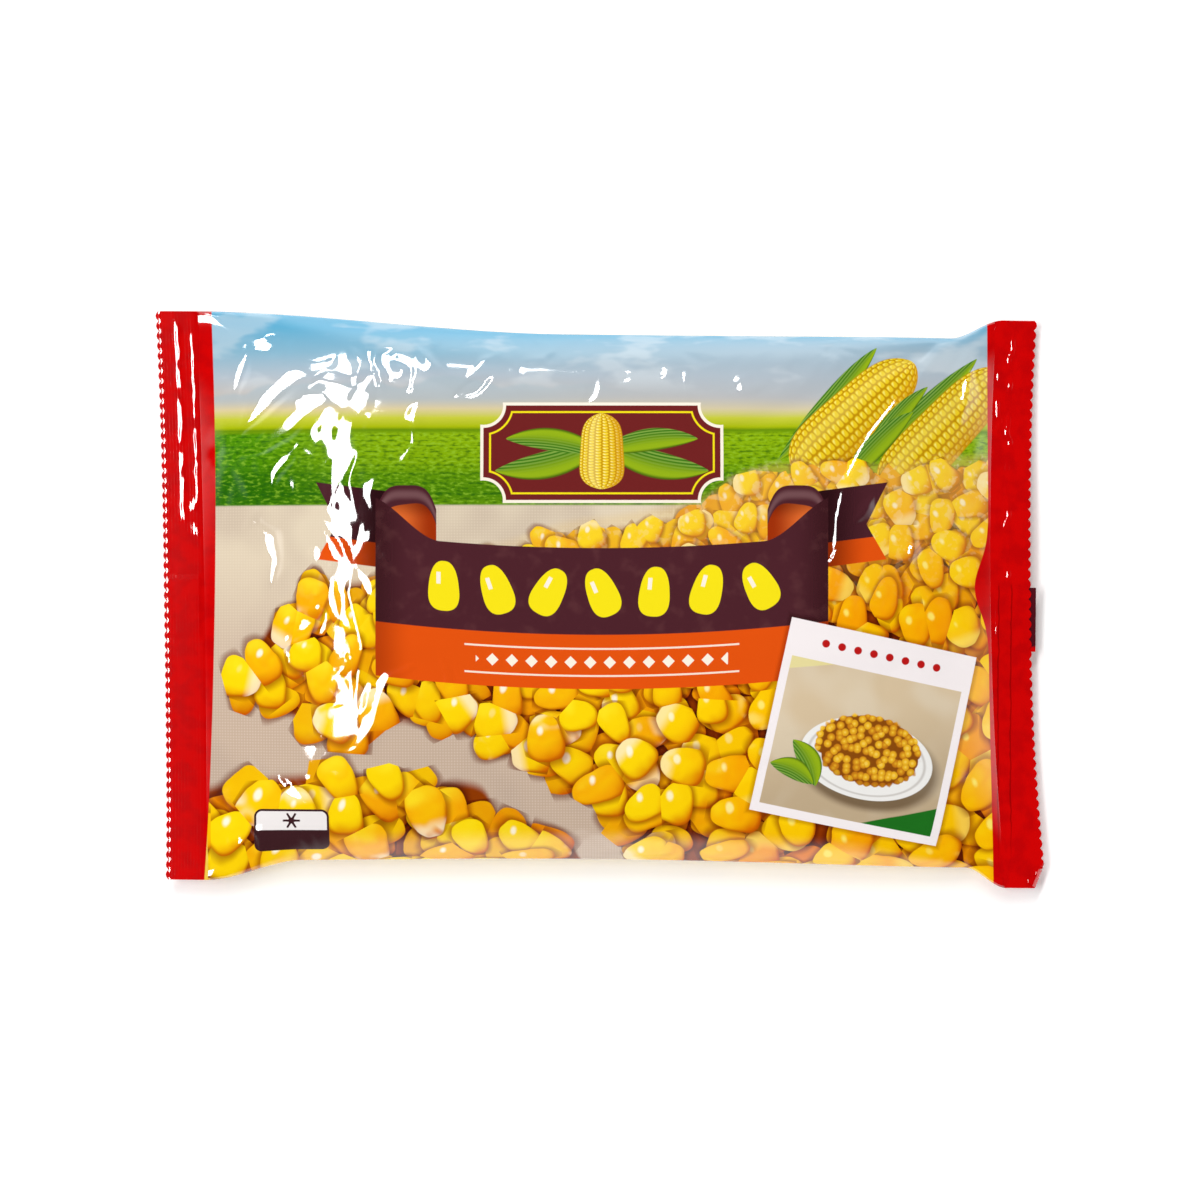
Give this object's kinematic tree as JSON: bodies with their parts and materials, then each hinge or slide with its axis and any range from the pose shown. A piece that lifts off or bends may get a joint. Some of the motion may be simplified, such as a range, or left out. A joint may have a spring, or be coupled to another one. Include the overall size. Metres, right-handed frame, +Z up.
{
  "type": "frozen vegetable bag",
  "caption": "Filled pillow bag of glossy printed film with crimped, serrated end seals and a fin seal folded flat on the back, lying on its back.",
  "frame": {"origin": "on the resting surface, under the centre of the bag's bounding box", "axes": "+X along the bag from the left end seal to the right one, +Y across it toward the print's top edge, +Z up out of the printed front"},
  "size_m": [0.2404, 0.1556, 0.021],
  "materials": {
    "printed_film": "glossy printed plastic film: yellow kernel print in the middle, red at both ends"
  },
  "bodies": {
    "root": {"film_bag": "printed_film"}
  },
  "joints": []
}
